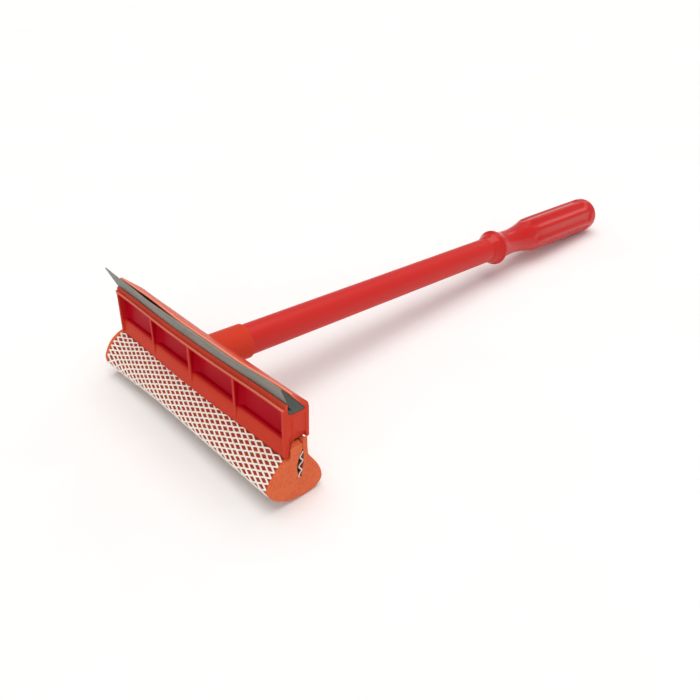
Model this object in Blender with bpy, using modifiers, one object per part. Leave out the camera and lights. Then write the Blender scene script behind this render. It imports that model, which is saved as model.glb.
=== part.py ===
"""A hand squeegee: moulded head with a rubber blade above and a netted sponge below, on a tube with a fluted grip.

Frame: +X along the head, +Y along the handle away from the head, +Z up to the blade. The origin is the
centre of the sponge's working face, on the outside of the net. Sections are drawn in depth (along +Y from
the head's front face) and rise (along +Z from the top of the front flange), and moved to the frame last.
"""
import math

import bmesh
import bpy
import numpy as np
from mathutils import Matrix

# Fits between pieces
FIT_GAP = 0.0003
SOFT_GAP = 0.0004
OVERRUN = 0.002

# The head: one moulding of even wall
HEAD_LENGTH = 0.203
HEAD_DEPTH = 0.0177
FRONT_DROP = 0.033
REAR_DROP = 0.0242
END_WALL = 0.0022
END_RECESS = 0.0003
END_POCKET = 0.0014
RIB_WALL = 0.0022
RIB_SETBACK = 0.0013
BAY_COUNT = 4
BAY_DEPTH = 0.0056
BAY_FLOOR_DROP = 0.0222
WEB_WALL = 0.0020
REAR_WALL = 0.0026
REAR_BEAD_RADIUS = 0.0013
LIP_BEAD_RADIUS = 0.0009
SHOULDER_WIDTH = 0.0014
SHOULDER_HEIGHT = 0.0037
ARCH_DROP = 0.0183

# The blade channel on top of the head
LIP_WALL = 0.0028
LIP_RISE = 0.0033
SLOT_DROP = 0.0044
SLOT_WIDTH = 0.0121
SLOT_CORNER_RADIUS = 0.0032
SLOT_HEEL = 0.0010
SLOT_ROOF = 0.0022
JAW_RISE = 0.0086
JAW_TIP_WIDTH = 0.0019
JAW_TIP_CROWN = 0.0008
REAR_LEAN = math.radians(39.5)

# The rubber blade
BLADE_OVERHANG = 0.0085
BLADE_HEEL_OVERHANG = 0.0015
BLADE_TRIM_RISE = 0.0095
BLADE_TIP_RISE = 0.0148
BLADE_TIP_WIDTH = 0.0008
BLADE_TIP_SLOPE = 0.0003
BLADE_BASE_THICKNESS = 0.0030
BLADE_NOTCH_DEPTH = 0.0025
BLADE_LIP_RELIEF = 0.0009

# The sponge: a mushroom section whose neck stands in the head
SPONGE_OVERHANG = 0.0015
SPONGE_FRONT_REACH = 0.0129
SPONGE_REAR_REACH = 0.0083
SPONGE_TOP_DROP = 0.0014
SPONGE_HEIGHT = 0.0300
SPONGE_SHOULDER_DROP = 0.0113
SPONGE_FLAT = 0.0005
NECK_TOP_GAP = 0.0005
NECK_REAR_RISE = 0.0009
SLIT_WIDTH = 0.0006
SLIT_GAPE = 0.0011

# Points of the mushroom below its neck, front to back: shares of its width and of its height
MUSHROOM_SHARES = (
    (0.262, 0.040), (0.160, 0.163), (0.074, 0.320), (0.015, 0.463), (0.000, 0.547), (0.033, 0.660),
    (0.135, 0.790), (0.277, 0.897), (0.430, 0.957), (0.583, 0.993), (0.738, 1.000), (0.850, 0.963),
    (0.945, 0.880), (0.990, 0.775), (0.975, 0.643), (0.903, 0.440), (0.819, 0.253), (0.740, 0.127),
)

# The corrugated steel strip in the sponge's slit
SPINE_HEIGHT = 0.0176
SPINE_TOP_DROP = 0.0315
SPINE_LEAN = 0.0020
SPINE_SHEET = 0.0005
SPINE_WAVE = 0.0066
SPINE_SWING = 0.0013
SPINE_END_SWING_SHARE = 0.45
SPINE_INSET = 0.0002

# The net: a diamond lattice wrapped round the sponge
NET_THICKNESS = 0.0008
NET_INSET = 0.0035
NET_COLUMNS = 11
NET_ROWS = 13
NET_STRAND = 0.0017

# The handle: socket on the head, tube, grip
AXIS_DROP = 0.0142
TUBE_RADIUS = 0.0111
TUBE_WALL = 0.0014
SOCKET_WALL = 0.0010
SOCKET_LENGTH = 0.0262
SOCKET_ROUND = 0.0016
SOCKET_FLOOR = 0.0016
GRIP_START = 0.3126
GRIP_LENGTH = 0.1821
GRIP_SOCKET_DEPTH = 0.0130
SPIGOT_LENGTH = 0.0400
SPIGOT_CHAMFER = 0.0012
CORE_RADIUS = 0.0068
CORE_END_WALL = 0.0200
GRIP_RADIUS = 0.0172

# Outer profile of the grip, front to back: shares of its length and of its largest radius
GRIP_SHARES = (
    (0.0015, 0.697), (0.0066, 0.705), (0.0187, 0.727), (0.0297, 0.762), (0.0406, 0.814), (0.0494, 0.872),
    (0.0571, 0.919), (0.0643, 0.933), (0.0719, 0.919), (0.0791, 0.872), (0.0873, 0.834), (0.0983, 0.797),
    (0.1120, 0.759), (0.1285, 0.727), (0.1505, 0.701), (0.1724, 0.683), (0.2000, 0.676), (0.2273, 0.683),
    (0.2493, 0.703), (0.2713, 0.731), (0.2933, 0.762), (0.3152, 0.805), (0.3317, 0.843), (0.3482, 0.888),
    (0.3619, 0.924), (0.3756, 0.945), (0.3976, 0.960), (0.4525, 0.972), (0.5898, 0.984), (0.7820, 0.998),
    (0.9083, 1.000), (0.9303, 0.991), (0.9412, 0.959), (0.9522, 0.890), (0.9632, 0.805), (0.9742, 0.698),
    (0.9852, 0.541), (0.9940, 0.349), (0.9989, 0.174),
)

# Flutes of the grip
FLUTE_COUNT = 8
FLUTE_PHASE = math.radians(12.8)
FLUTE_START = 0.0600
FLUTE_LENGTH = 0.1030
FLUTE_DEPTH = 0.0015
FLUTE_RADIUS = 0.0160
FLUTE_TAPER = 0.0080

# Facets of round shapes
ROUND_STEPS = 48
FLUTE_STEPS = 64
ARC_STEPS = 5
WAVE_STEPS = 28


def polar(centre, radius, start, end, steps=ARC_STEPS):
    """Points on an arc in the section plane, angles in degrees from +depth towards +rise."""
    angles = np.radians(np.linspace(start, end, steps + 1))
    return [(centre[0] + radius * math.cos(a), centre[1] + radius * math.sin(a)) for a in angles]


def smooth_through(points, per_span=12):
    """A Catmull-Rom curve through the points, as a dense polyline."""
    ends = [2 * np.array(points[0]) - points[1], 2 * np.array(points[-1]) - points[-2]]
    knots = np.array([ends[0]] + [np.array(p) for p in points] + [ends[1]])
    curve = []
    for a, b, c, d in zip(knots[:-3], knots[1:-2], knots[2:-1], knots[3:]):
        for t in np.linspace(0, 1, per_span, endpoint=False):
            curve.append(0.5 * (2 * b + (c - a) * t + (2 * a - 5 * b + 4 * c - d) * t ** 2
                                + (3 * b - a - 3 * c + d) * t ** 3))
    return np.array(curve + [knots[-2]])


def even_steps(polyline, count):
    """The polyline cut into equal lengths."""
    lengths = np.concatenate([[0], np.cumsum(np.linalg.norm(np.diff(polyline, axis=0), axis=1))])
    marks = np.linspace(0, lengths[-1], count + 1)
    return np.stack([np.interp(marks, lengths, polyline[:, k]) for k in (0, 1)], axis=1)


def offset_left(polyline, distance):
    """The open polyline moved sideways to the left of its direction, mitred at its corners."""
    steps = np.diff(polyline, axis=0)
    normals = np.stack([-steps[:, 1], steps[:, 0]], axis=1) / np.linalg.norm(steps, axis=1)[:, None]
    before = np.vstack([normals[:1], normals])
    after = np.vstack([normals, normals[-1:]])
    mitre = before + after
    mitre /= np.sum(mitre * before, axis=1)[:, None]
    return polyline + distance * mitre


# Lines of the head's section that its neighbours follow
SLOT_BACK = LIP_WALL + SLOT_WIDTH
SLOT_FLOOR = -SLOT_DROP
HEEL_RISE = SLOT_FLOOR + SLOT_HEEL
CAVITY_FRONT = BAY_DEPTH + WEB_WALL
CAVITY_BACK = HEAD_DEPTH - REAR_WALL
LEDGE_UNDER = -BAY_FLOOR_DROP - WEB_WALL
LEDGE_FRONT = BAY_DEPTH * 0.95
SPONGE_LENGTH = HEAD_LENGTH + 2 * SPONGE_OVERHANG
NOSE_TOP_SHARE = 0.75
NOSE_SHARES = ((0.555, 0.083), (0.430, 0.220), (0.340, 0.445), (0.232, 0.815), (0.070, 1.000))
INNER_NOSE_SHARES = ((0.805, 0.115), (0.700, 0.350), (0.570, 0.790), (0.460, 1.000))


def nose_points():
    """Outer face of the front flange below the bay floor, top to bottom."""
    drop = FRONT_DROP - BAY_FLOOR_DROP
    return [(BAY_DEPTH * a, -BAY_FLOOR_DROP - drop * b) for a, b in NOSE_SHARES]


def inner_nose_points():
    """Inner face of the front flange, top to bottom."""
    drop = FRONT_DROP + LEDGE_UNDER
    return [(BAY_DEPTH * a, LEDGE_UNDER - drop * b) for a, b in INNER_NOSE_SHARES]


def jaw_depth(rise):
    """Depth of the rear jaw's inner face at a rise."""
    return SLOT_BACK - (rise - HEEL_RISE) * math.tan(REAR_LEAN)


def front_lip_points():
    """Front edge of the blade channel: bead, groove and lip, from the bay's ceiling round to the mouth."""
    groove = LIP_BEAD_RADIUS * 0.7
    return (polar((0, 0), LIP_BEAD_RADIUS, 235, 60)
            + [(LIP_WALL * 0.32, groove), (LIP_WALL * 0.50, LIP_RISE * 0.62), (LIP_WALL * 0.76, LIP_RISE * 0.95),
               (LIP_WALL, LIP_RISE)])


def channel_points():
    """Inside of the blade channel, from the mouth's front lip down, across the floor and up the rear jaw."""
    corner = (LIP_WALL + SLOT_CORNER_RADIUS, SLOT_FLOOR + SLOT_CORNER_RADIUS)
    return (polar(corner, SLOT_CORNER_RADIUS, 180, 270)
            + [(SLOT_BACK - SLOT_HEEL * 0.5, SLOT_FLOOR), (SLOT_BACK, HEEL_RISE), (jaw_depth(JAW_RISE), JAW_RISE)])


def roof_points():
    """Rear jaw's tip, roof and shoulder, down to the rear flange."""
    tip = jaw_depth(JAW_RISE)
    return [(tip + JAW_TIP_WIDTH * 0.1, JAW_RISE + JAW_TIP_CROWN * 0.75),
            (tip + JAW_TIP_WIDTH * 0.45, JAW_RISE + JAW_TIP_CROWN),
            (tip + JAW_TIP_WIDTH, JAW_RISE + JAW_TIP_CROWN * 0.55),
            (HEAD_DEPTH - SHOULDER_WIDTH, SHOULDER_HEIGHT * 0.06),
            (HEAD_DEPTH - SHOULDER_WIDTH * 0.35, -SHOULDER_HEIGHT * 0.36),
            (HEAD_DEPTH, -SHOULDER_HEIGHT)]


def rear_bead_points():
    """Rolled edge at the bottom of the rear flange."""
    centre = (HEAD_DEPTH - REAR_BEAD_RADIUS, -REAR_DROP + REAR_BEAD_RADIUS)
    return polar(centre, REAR_BEAD_RADIUS, 30, -150, 7)


def head_outline():
    """Section of the head between its ribs: one wall of even thickness folded into channels."""
    ceiling = SLOT_FLOOR - SLOT_ROOF
    bay = [(LIP_WALL * 0.1, -LIP_BEAD_RADIUS * 1.6), (LIP_WALL * 0.85, SLOT_FLOOR * 0.82),
           (BAY_DEPTH - WEB_WALL * 0.3, ceiling), (BAY_DEPTH, ceiling - WEB_WALL * 0.4),
           (BAY_DEPTH, -BAY_FLOOR_DROP + WEB_WALL * 0.4), (BAY_DEPTH * 0.92, -BAY_FLOOR_DROP),
           (BAY_DEPTH * NOSE_TOP_SHARE, -BAY_FLOOR_DROP)]
    cavity = [(CAVITY_BACK, -REAR_DROP + 2 * REAR_BEAD_RADIUS), (CAVITY_BACK, ceiling - WEB_WALL * 0.3),
              (CAVITY_BACK - WEB_WALL * 0.3, ceiling), (CAVITY_FRONT + WEB_WALL * 0.3, ceiling),
              (CAVITY_FRONT, ceiling - WEB_WALL * 0.3), (CAVITY_FRONT, LEDGE_UNDER)]
    points = bay + nose_points()
    inner = list(reversed(inner_nose_points()))
    return (list(reversed(points)) + front_lip_points() + channel_points() + roof_points()
            + rear_bead_points() + cavity + [(LEDGE_FRONT, LEDGE_UNDER)] + inner[::-1])


def under_channel_points(depth):
    """A line inside the wall under the blade channel, from its front lip round the corner to a depth."""
    corner = (LIP_WALL + SLOT_CORNER_RADIUS, SLOT_FLOOR + SLOT_CORNER_RADIUS)
    under = SLOT_ROOF * 0.4
    arc = polar(corner, SLOT_CORNER_RADIUS + under, 184, 270)
    return arc + [(max(depth, corner[0] + under), SLOT_FLOOR - under)]


def rib_outline(front):
    """A plate that closes the bay: its front edge lies at the depth given."""
    web = BAY_DEPTH + WEB_WALL * 0.5
    nose = nose_points()
    return [(front, -LIP_BEAD_RADIUS)] + under_channel_points(web) + [
        (web, -BAY_FLOOR_DROP - WEB_WALL * 0.5), (nose[1][0] + WEB_WALL * 0.6, nose[1][1]),
        (nose[3][0] + WEB_WALL * 0.4, nose[3][1]), (max(front, nose[3][0]), nose[3][1])]


def end_wall_outline():
    """The wall at each end: closes the bay and the cavity down to the top of the sponge's neck."""
    rear = HEAD_DEPTH - REAR_BEAD_RADIUS
    nose = nose_points()
    heel = -FRONT_DROP + WEB_WALL * 0.2
    top = [(0, -LIP_BEAD_RADIUS * 0.5)] + under_channel_points(SLOT_BACK) + [(rear, SLOT_FLOOR - SLOT_ROOF * 0.4)]
    foot = [(rear, -REAR_DROP + REAR_BEAD_RADIUS),
            (BAY_DEPTH + WEB_WALL * 0.5, -BAY_FLOOR_DROP - WEB_WALL * 0.5), (nose[1][0] + WEB_WALL * 0.6, nose[1][1]),
            (nose[-1][0] + WEB_WALL * 0.3, heel), (nose[-1][0] * 0.3, heel)]
    return top + foot


def end_pocket_outline():
    """The arched hollow in each end face, over the sponge's neck and behind the front flange."""
    mouth = inner_nose_points()[-1][0]
    back = CAVITY_BACK + REAR_WALL * 0.1
    under = -FRONT_DROP - OVERRUN
    arch = [(back, -ARCH_DROP - WEB_WALL * 0.9), (CAVITY_BACK - WEB_WALL * 0.9, -ARCH_DROP - WEB_WALL * 0.2),
            (CAVITY_BACK - WEB_WALL * 2, -ARCH_DROP), (mouth + WEB_WALL, -ARCH_DROP),
            (mouth + WEB_WALL * 0.3, -ARCH_DROP - WEB_WALL * 0.5)]
    front = [(mouth + WEB_WALL * 0.35, -BAY_FLOOR_DROP), (BAY_DEPTH * 0.65, -BAY_FLOOR_DROP - WEB_WALL * 1.4),
             (BAY_DEPTH * 0.60, -BAY_FLOOR_DROP - WEB_WALL * 3.1), (BAY_DEPTH * 0.50, -FRONT_DROP),
             (BAY_DEPTH * 0.50, under)]
    return [(back, under)] + arch + front


def blade_outline():
    """The blade's section: foot, front notch and a wedge that leans forward against the rear jaw."""
    side = FIT_GAP / math.cos(REAR_LEAN)
    base_under = SLOT_FLOOR + FIT_GAP
    base_top = base_under + BLADE_BASE_THICKNESS
    corner = (LIP_WALL + SLOT_CORNER_RADIUS, SLOT_FLOOR + SLOT_CORNER_RADIUS)
    round_foot = polar(corner, SLOT_CORNER_RADIUS - FIT_GAP, 182, 270)
    tip = jaw_depth(BLADE_TIP_RISE) - side
    mouth = LIP_WALL + FIT_GAP
    return (round_foot
            + [(SLOT_BACK - side - SLOT_HEEL * 0.5, base_under), (SLOT_BACK - side, HEEL_RISE),
               (tip, BLADE_TIP_RISE), (tip - BLADE_TIP_WIDTH, BLADE_TIP_RISE - BLADE_TIP_SLOPE),
               (mouth, LIP_RISE), (mouth + FIT_GAP, LIP_RISE - BLADE_LIP_RELIEF),
               (mouth + BLADE_NOTCH_DEPTH, base_top), (mouth, base_top)])


def wrap_line():
    """The sponge's surface under the net, in equal steps from the front flange round to the rear flange."""
    width = SPONGE_FRONT_REACH + HEAD_DEPTH + SPONGE_REAR_REACH
    top = -FRONT_DROP - SPONGE_TOP_DROP
    mushroom = [(-SPONGE_FRONT_REACH + width * a, top - SPONGE_HEIGHT * b) for a, b in MUSHROOM_SHARES]
    neck = CAVITY_BACK - SOFT_GAP
    shoulder = -REAR_DROP - SPONGE_SHOULDER_DROP
    rear_end = -REAR_DROP - SOFT_GAP - NET_THICKNESS
    start = (nose_points()[-1][0] + SOFT_GAP, top)
    anchors = [start] + mushroom + [(neck, shoulder), (neck, (shoulder + rear_end) / 2), (neck, rear_end)]
    line = even_steps(smooth_through(anchors), 2 * NET_ROWS)
    lowest = line[:, 1].min() + SPONGE_FLAT
    line[:, 1] = np.maximum(line[:, 1], lowest)
    return line


def spine_line(t):
    """Middle line of the leaning strip and the half width of its waves there, for shares of its height."""
    swing = SPINE_SWING * (SPINE_END_SWING_SHARE + (1 - SPINE_END_SWING_SHARE) * np.sin(math.pi * t))
    return (CAVITY_FRONT + CAVITY_BACK) / 2 - SPINE_LEAN * t, -SPINE_TOP_DROP - SPINE_HEIGHT * t, swing


def sponge_outline():
    """Section of the sponge: the mushroom, and a neck split by the slit that the steel strip holds open."""
    middle, rise, swing = spine_line(np.linspace(0, 1, 2 * ARC_STEPS + 1))
    clear = swing + SPINE_SHEET / 2 + FIT_GAP
    gape = clear + SLIT_GAPE * (swing - swing[0]) / (swing.max() - swing[0])
    centre, foot = middle[0], middle[-1]
    neck_top = LEDGE_UNDER - NECK_TOP_GAP
    front = [(a + SOFT_GAP, b - FIT_GAP) for a, b in inner_nose_points()]
    top_rear = [(CAVITY_BACK - SOFT_GAP, neck_top), (CAVITY_BACK - 2 * SOFT_GAP, neck_top + NECK_REAR_RISE),
                (centre + SLIT_WIDTH / 2 + NECK_REAR_RISE, neck_top + NECK_REAR_RISE)]
    slit = ([(centre + SLIT_WIDTH / 2, neck_top), (centre + SLIT_WIDTH / 2, rise[0] + clear[0])]
            + list(zip(middle + clear, rise)) + [(foot, rise[-1] - clear[-1])]
            + list(zip(middle - gape, rise))[::-1]
            + [(centre - SLIT_WIDTH / 2, rise[0] + clear[0]), (centre - SLIT_WIDTH / 2, neck_top)])
    return [tuple(p) for p in wrap_line()] + top_rear + slit + [(LEDGE_FRONT + SOFT_GAP, neck_top)] + front


def spine_outline():
    """Section of the corrugated strip: a wave of even thickness standing in the slit."""
    t = np.linspace(0, 1, WAVE_STEPS + 1)
    middle, rise, swing = spine_line(t)
    centre = np.stack([middle + swing * np.cos(2 * math.pi * SPINE_HEIGHT / SPINE_WAVE * t), rise], axis=1)
    return ([tuple(p) for p in offset_left(centre, SPINE_SHEET / 2)]
            + [tuple(p) for p in offset_left(centre, -SPINE_SHEET / 2)[::-1]])


def working_face():
    """Depth and rise of the frame's origin: a knot of the net in the middle of the flat working face."""
    outer = offset_left(wrap_line(), -(FIT_GAP + NET_THICKNESS))
    flat = [k for k in range(len(outer)) if outer[k, 1] <= outer[:, 1].min() + FIT_GAP / 10]
    knots = [k for k in flat if k % 2 == NET_COLUMNS % 2]
    middle = min(knots, key=lambda k: abs(k - sum(flat) / len(flat)))
    return tuple(outer[middle])


ORIGIN = working_face()


def new_collection(name):
    collection = bpy.data.collections.new(name)
    bpy.context.scene.collection.children.link(collection)
    return collection


def material(name, colour, roughness, metallic=0.0):
    made = bpy.data.materials.new(name)
    made.use_nodes = True
    shader = made.node_tree.nodes["Principled BSDF"]
    shader.inputs["Base Color"].default_value = (*colour, 1.0)
    shader.inputs["Roughness"].default_value = roughness
    shader.inputs["Metallic"].default_value = metallic
    made.diffuse_color = (*colour, 1.0)
    return made


def section_place(middle_x=0.0):
    """Takes an outline drawn in local X, Y to depth and rise, and its thickness to +X of the frame."""
    return Matrix(((0, 0, 1, middle_x), (1, 0, 0, -ORIGIN[0]), (0, 1, 0, -ORIGIN[1]), (0, 0, 0, 1)))


def front_place(middle_depth):
    """Takes an outline drawn in local X, Y to X and rise, and its thickness to the depth."""
    return Matrix(((1, 0, 0, 0), (0, 0, -1, middle_depth - ORIGIN[0]), (0, 1, 0, -ORIGIN[1]), (0, 0, 0, 1)))


def axis_place(station=0.0):
    """Takes a turned shape's local Z to the handle's axis."""
    turn = Matrix(((1, 0, 0, 0), (0, 0, 1, 0), (0, -1, 0, 0), (0, 0, 0, 1)))
    return Matrix.Translation((0, station - ORIGIN[0], -AXIS_DROP - ORIGIN[1])) @ turn


def extruded(name, outline, thickness, place, collection):
    """A flat outline as a filled 2D curve with a thickness, made a welded mesh."""
    curve = bpy.data.curves.new(name, "CURVE")
    curve.dimensions = "2D"
    curve.fill_mode = "BOTH"
    curve.extrude = thickness / 2
    spline = curve.splines.new("POLY")
    spline.points.add(len(outline) - 1)
    for point, (across, up) in zip(spline.points, outline):
        point.co = (across, up, 0, 1)
    spline.use_cyclic_u = True
    drawn = bpy.data.objects.new(name, curve)
    collection.objects.link(drawn)
    drawn.matrix_world = place
    return as_mesh(drawn, collection)


def as_mesh(source, collection):
    """A welded mesh object in the place of an object with curves or modifiers."""
    bpy.context.view_layer.update()
    evaluated = source.evaluated_get(bpy.context.evaluated_depsgraph_get())
    mesh = bpy.data.meshes.new_from_object(evaluated)
    name, place = source.name, source.matrix_world.copy()
    bpy.data.objects.remove(source)
    shape = bmesh.new()
    shape.from_mesh(mesh)
    bmesh.ops.remove_doubles(shape, verts=shape.verts, dist=FIT_GAP / 100)
    shape.to_mesh(mesh)
    shape.free()
    made = bpy.data.objects.new(name, mesh)
    collection.objects.link(made)
    made.matrix_world = place
    return made


def turned(name, profile, place, collection, steps=ROUND_STEPS, closed=False):
    """A turned shape: a profile of (station, radius) from its far end to its near end, round local Z."""
    mesh = bpy.data.meshes.new(name)
    shape = bmesh.new()
    points = [shape.verts.new((radius, 0, station)) for station, radius in profile]
    pairs = list(zip(points[:-1], points[1:]))
    if closed:
        pairs.append((points[-1], points[0]))
    for a, b in pairs:
        shape.edges.new((a, b))
    shape.to_mesh(mesh)
    shape.free()
    made = bpy.data.objects.new(name, mesh)
    collection.objects.link(made)
    made.matrix_world = place
    screw = made.modifiers.new("turn", "SCREW")
    screw.steps = steps
    screw.render_steps = steps
    screw.use_merge_vertices = True
    screw.merge_threshold = FIT_GAP / 100
    return made


def boolean(target, other, operation):
    """Joins or cuts with a second body, which stays as a hidden guide."""
    other.hide_render = True
    other.display_type = "WIRE"
    step = target.modifiers.new(other.name, "BOOLEAN")
    step.operation = operation
    step.solver = "EXACT"
    step.object = other


def finish(made, name, skin, smooth_angle=None):
    made.name = name
    made.data.name = name
    made.data.materials.clear()
    made.data.materials.append(skin)
    if smooth_angle is not None:
        made.data.shade_smooth()
        made.data.set_sharp_from_angle(angle=smooth_angle)


def build_head(parts, cutters, skin):
    """Extruded walls, closed by ribs and end walls, with the handle's socket on the rear flange."""
    half = HEAD_LENGTH / 2
    head = extruded("head_frame", head_outline(), HEAD_LENGTH, section_place(), parts)
    pitch = HEAD_LENGTH / BAY_COUNT
    for k in range(1, BAY_COUNT):
        x = -half + k * pitch
        rib = extruded(f"rib_{k}", rib_outline(RIB_SETBACK), RIB_WALL, section_place(x), cutters)
        boolean(head, rib, "UNION")
    for side, label in ((-1, "left"), (1, "right")):
        middle = side * (half - END_RECESS - END_WALL / 2)
        wall = extruded(f"end_wall_{label}", end_wall_outline(), END_WALL, section_place(middle), cutters)
        boolean(head, wall, "UNION")
        middle = side * (half + (OVERRUN - END_POCKET) / 2)
        pocket = extruded(f"end_pocket_{label}", end_pocket_outline(), END_POCKET + OVERRUN,
                          section_place(middle), cutters)
        boolean(head, pocket, "DIFFERENCE")
    bore = TUBE_RADIUS + FIT_GAP
    outside = bore + SOCKET_WALL
    root = HEAD_DEPTH - REAR_WALL / 2
    tip = HEAD_DEPTH + SOCKET_LENGTH
    rounding = [(tip - SOCKET_ROUND + SOCKET_ROUND * math.sin(a), outside - SOCKET_ROUND * 0.75 * (1 - math.cos(a)))
                for a in np.radians(np.linspace(90, 0, ARC_STEPS))]
    collar = turned("socket_collar", [(tip, 0.0)] + rounding + [(root, outside), (root, 0.0)],
                    axis_place(), cutters)
    boolean(head, collar, "UNION")
    floor = HEAD_DEPTH + SOCKET_FLOOR
    drill = turned("socket_bore", [(tip + OVERRUN, 0.0), (tip + OVERRUN, bore), (floor, bore), (floor, 0.0)],
                   axis_place(), cutters)
    boolean(head, drill, "DIFFERENCE")
    finish(head, "head_frame", skin)
    return head


def build_blade(parts, cutters, skin):
    """The rubber strip, flush at one end and cut slantwise where it overhangs the other."""
    length = HEAD_LENGTH + BLADE_OVERHANG
    blade = extruded("blade_rubber", blade_outline(), length, section_place(-BLADE_OVERHANG / 2), parts)
    end = -HEAD_LENGTH / 2
    heel, tip = end - BLADE_HEEL_OVERHANG, end - BLADE_OVERHANG
    slope = (BLADE_TRIM_RISE - LIP_RISE) / (heel - tip)
    past, under = tip - OVERRUN, SLOT_FLOOR - OVERRUN
    corner = [(heel, under), (heel, LIP_RISE), (past, LIP_RISE + (heel - past) * slope), (past, under)]
    trim = extruded("blade_trim", corner, 2 * (HEAD_DEPTH + OVERRUN), front_place(0.0), cutters)
    boolean(blade, trim, "DIFFERENCE")
    finish(blade, "blade_rubber", skin)


def build_sponge(parts, skin):
    sponge = extruded("sponge", sponge_outline(), SPONGE_LENGTH, section_place(), parts)
    finish(sponge, "sponge", skin)


def build_spine(parts, skin):
    length = SPONGE_LENGTH - 2 * SPINE_INSET
    spine = extruded("sponge_spine", spine_outline(), length, section_place(), parts)
    finish(spine, "sponge_spine", skin)


def net_layer(shape, line):
    """Corners of one face of the net on the wrapped line: its knots, hole corners and hem points."""
    columns, rows = 2 * NET_COLUMNS, 2 * NET_ROWS
    reach = SPONGE_LENGTH / 2 - NET_INSET
    step = 2 * reach / columns
    rise = np.mean(np.linalg.norm(np.diff(line, axis=0), axis=1))
    open_share = 1 - NET_STRAND / 2 * math.hypot(step, rise) / (step * rise)

    def at(i, j):
        low = min(int(math.floor(j)), rows - 1)
        depth, height = line[low] + (line[low + 1] - line[low]) * (j - low)
        return shape.verts.new((-reach + i * step, depth - ORIGIN[0], height - ORIGIN[1]))

    layer = {}
    for i in range(columns + 1):
        for j in range(rows + 1):
            if (i + j) % 2 == 0 or i in (0, columns):
                layer[i, j] = at(i, j)
            elif 0 < j < rows:
                ring = [(0, -1), (1, 0), (0, 1), (-1, 0)]
                layer["hole", i, j] = [at(i + a * open_share, j + b * open_share) for a, b in ring]
    return layer


def net_faces(layer):
    """Faces of one side of the net, as lists of corners: four round each hole, and triangles at the hems."""
    columns, rows = 2 * NET_COLUMNS, 2 * NET_ROWS
    faces = []
    for i in range(columns + 1):
        for j in range(rows + 1):
            if (i + j) % 2 == 0:
                continue
            if ("hole", i, j) in layer:
                hole = layer["hole", i, j]
                knots = [layer[i, j - 1], layer[i + 1, j], layer[i, j + 1], layer[i - 1, j]]
                for k in range(4):
                    faces.append([knots[k], knots[(k + 1) % 4], hole[(k + 1) % 4], hole[k]])
            elif i == 0:
                faces += [[layer[0, j - 1], layer[1, j], layer[0, j]], [layer[0, j], layer[1, j], layer[0, j + 1]]]
            elif i == columns:
                faces += [[layer[i, j - 1], layer[i, j], layer[i - 1, j]],
                          [layer[i, j], layer[i, j + 1], layer[i - 1, j]]]
            elif j == 0:
                faces.append([layer[i - 1, 0], layer[i + 1, 0], layer[i, 1]])
            else:
                faces.append([layer[i + 1, j], layer[i - 1, j], layer[i, j - 1]])
    return faces


def build_net(parts, skin):
    """The wrapped diamond lattice: an inner and an outer face, joined by walls along every open edge."""
    line = wrap_line()
    shape = bmesh.new()
    inner = net_layer(shape, offset_left(line, -FIT_GAP))
    outer = net_layer(shape, offset_left(line, -(FIT_GAP + NET_THICKNESS)))
    sides = [net_faces(inner), net_faces(outer)]
    partner = dict(zip([v for face in sides[0] for v in face], [v for face in sides[1] for v in face]))
    edges = {}
    for near, far in zip(*sides):
        shape.faces.new(near)
        shape.faces.new(far[::-1])
        for a, b in zip(near, near[1:] + near[:1]):
            edges[a, b] = True
    for a, b in edges:
        if (b, a) not in edges:
            shape.faces.new([b, a, partner[a], partner[b]])
    bmesh.ops.recalc_face_normals(shape, faces=shape.faces)
    mesh = bpy.data.meshes.new("sponge_net")
    shape.to_mesh(mesh)
    shape.free()
    net = bpy.data.objects.new("sponge_net", mesh)
    parts.objects.link(net)
    finish(net, "sponge_net", skin)


def build_tube(parts, skin):
    near = HEAD_DEPTH + SOCKET_FLOOR + FIT_GAP
    far = GRIP_START + GRIP_SOCKET_DEPTH
    inside = TUBE_RADIUS - TUBE_WALL
    profile = [(far, inside), (far, TUBE_RADIUS), (near, TUBE_RADIUS), (near, inside)]
    tube = turned("handle_tube", profile, axis_place(), parts, closed=True)
    finish(tube, "handle_tube", skin, math.radians(35))


def grip_profile():
    """The grip from its domed end to its ring, then in along the tube's socket, the spigot and the core."""
    outer = [(GRIP_START + GRIP_LENGTH * a, GRIP_RADIUS * b) for a, b in GRIP_SHARES]
    socket = TUBE_RADIUS + FIT_GAP
    spigot = TUBE_RADIUS - TUBE_WALL - FIT_GAP
    seat = GRIP_START + GRIP_SOCKET_DEPTH + FIT_GAP
    tip = seat - SPIGOT_LENGTH
    core_end = GRIP_START + GRIP_LENGTH - CORE_END_WALL
    return ([(GRIP_START + GRIP_LENGTH, 0.0)] + outer[::-1]
            + [(GRIP_START, socket), (seat, socket), (seat, spigot), (tip + SPIGOT_CHAMFER, spigot),
               (tip, spigot - SPIGOT_CHAMFER), (tip, CORE_RADIUS), (core_end - CORE_RADIUS / 2, CORE_RADIUS),
               (core_end, CORE_RADIUS / 2), (core_end, 0.0)])


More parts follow.
